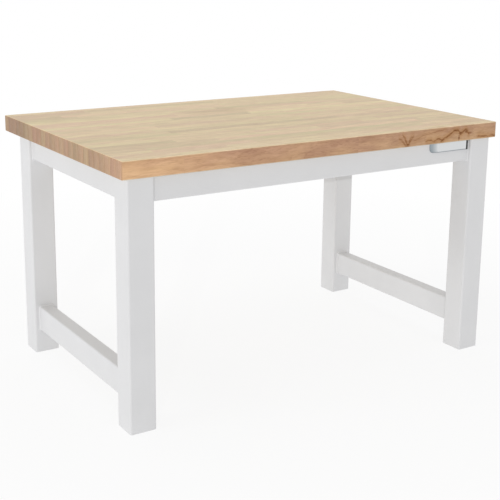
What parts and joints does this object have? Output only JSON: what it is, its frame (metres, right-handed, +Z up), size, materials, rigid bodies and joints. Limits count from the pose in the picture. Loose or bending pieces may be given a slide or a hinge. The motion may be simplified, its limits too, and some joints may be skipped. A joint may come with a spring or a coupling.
{
  "type": "workbench",
  "caption": "Heavy free-standing workbench: laminated maple top on a welded frame of pale powder-coated square steel tube, with rails under the top and a low stretcher at each end.",
  "frame": {"origin": "on the floor, under the middle of the top", "axes": "+X along the bench, to the right seen from the front; +Y from the front to the back; +Z up"},
  "size_m": [1.5, 0.98, 0.865],
  "materials": {
    "powder_coat": "pale grey-white powder coat, semi-matte",
    "maple": "laminated maple staves, sanded and oiled",
    "zinc": "bright zinc plating",
    "plate": "satin aluminium, blank",
    "plate_strip": "black plastic"
  },
  "bodies": {
    "root": {"leg_front_left": "powder_coat", "leg_front_right": "powder_coat", "leg_rear_left": "powder_coat", "leg_rear_right": "powder_coat", "foot_plate_front_left": "powder_coat", "foot_plate_front_right": "powder_coat", "foot_plate_rear_left": "powder_coat", "foot_plate_rear_right": "powder_coat", "rail_front": "powder_coat", "rail_rear": "powder_coat", "end_rail_left": "powder_coat", "end_rail_right": "powder_coat", "stretcher_left": "powder_coat", "stretcher_right": "powder_coat", "top_tab_front_1": "powder_coat", "top_tab_front_2": "powder_coat", "top_tab_front_3": "powder_coat", "top_tab_rear_1": "powder_coat", "top_tab_rear_2": "powder_coat", "top_tab_rear_3": "powder_coat", "top_tab_left": "powder_coat", "top_tab_right": "powder_coat", "lag_screw_front_1": "zinc", "lag_screw_front_2": "zinc", "lag_screw_front_3": "zinc", "lag_screw_rear_1": "zinc", "lag_screw_rear_2": "zinc", "lag_screw_rear_3": "zinc", "lag_screw_left": "zinc", "lag_screw_right": "zinc", "top_stave_01": "maple", "top_stave_02": "maple", "top_stave_03": "maple", "top_stave_04": "maple", "top_stave_05": "maple", "top_stave_06": "maple", "top_stave_07": "maple", "top_stave_08": "maple", "top_stave_09": "maple", "top_stave_10": "maple", "top_stave_11": "maple", "top_stave_12": "maple", "top_stave_13": "maple", "top_stave_14": "maple", "top_stave_15": "maple", "top_stave_16": "maple", "top_stave_17": "maple", "top_stave_18": "maple", "top_stave_19": "maple", "top_stave_20": "maple", "top_stave_21": "maple", "top_stave_22": "maple", "top_stave_23": "maple", "top_stave_24": "maple", "top_stave_25": "maple", "blank_plate": "plate", "plate_end_strip": "plate_strip"}
  },
  "joints": []
}
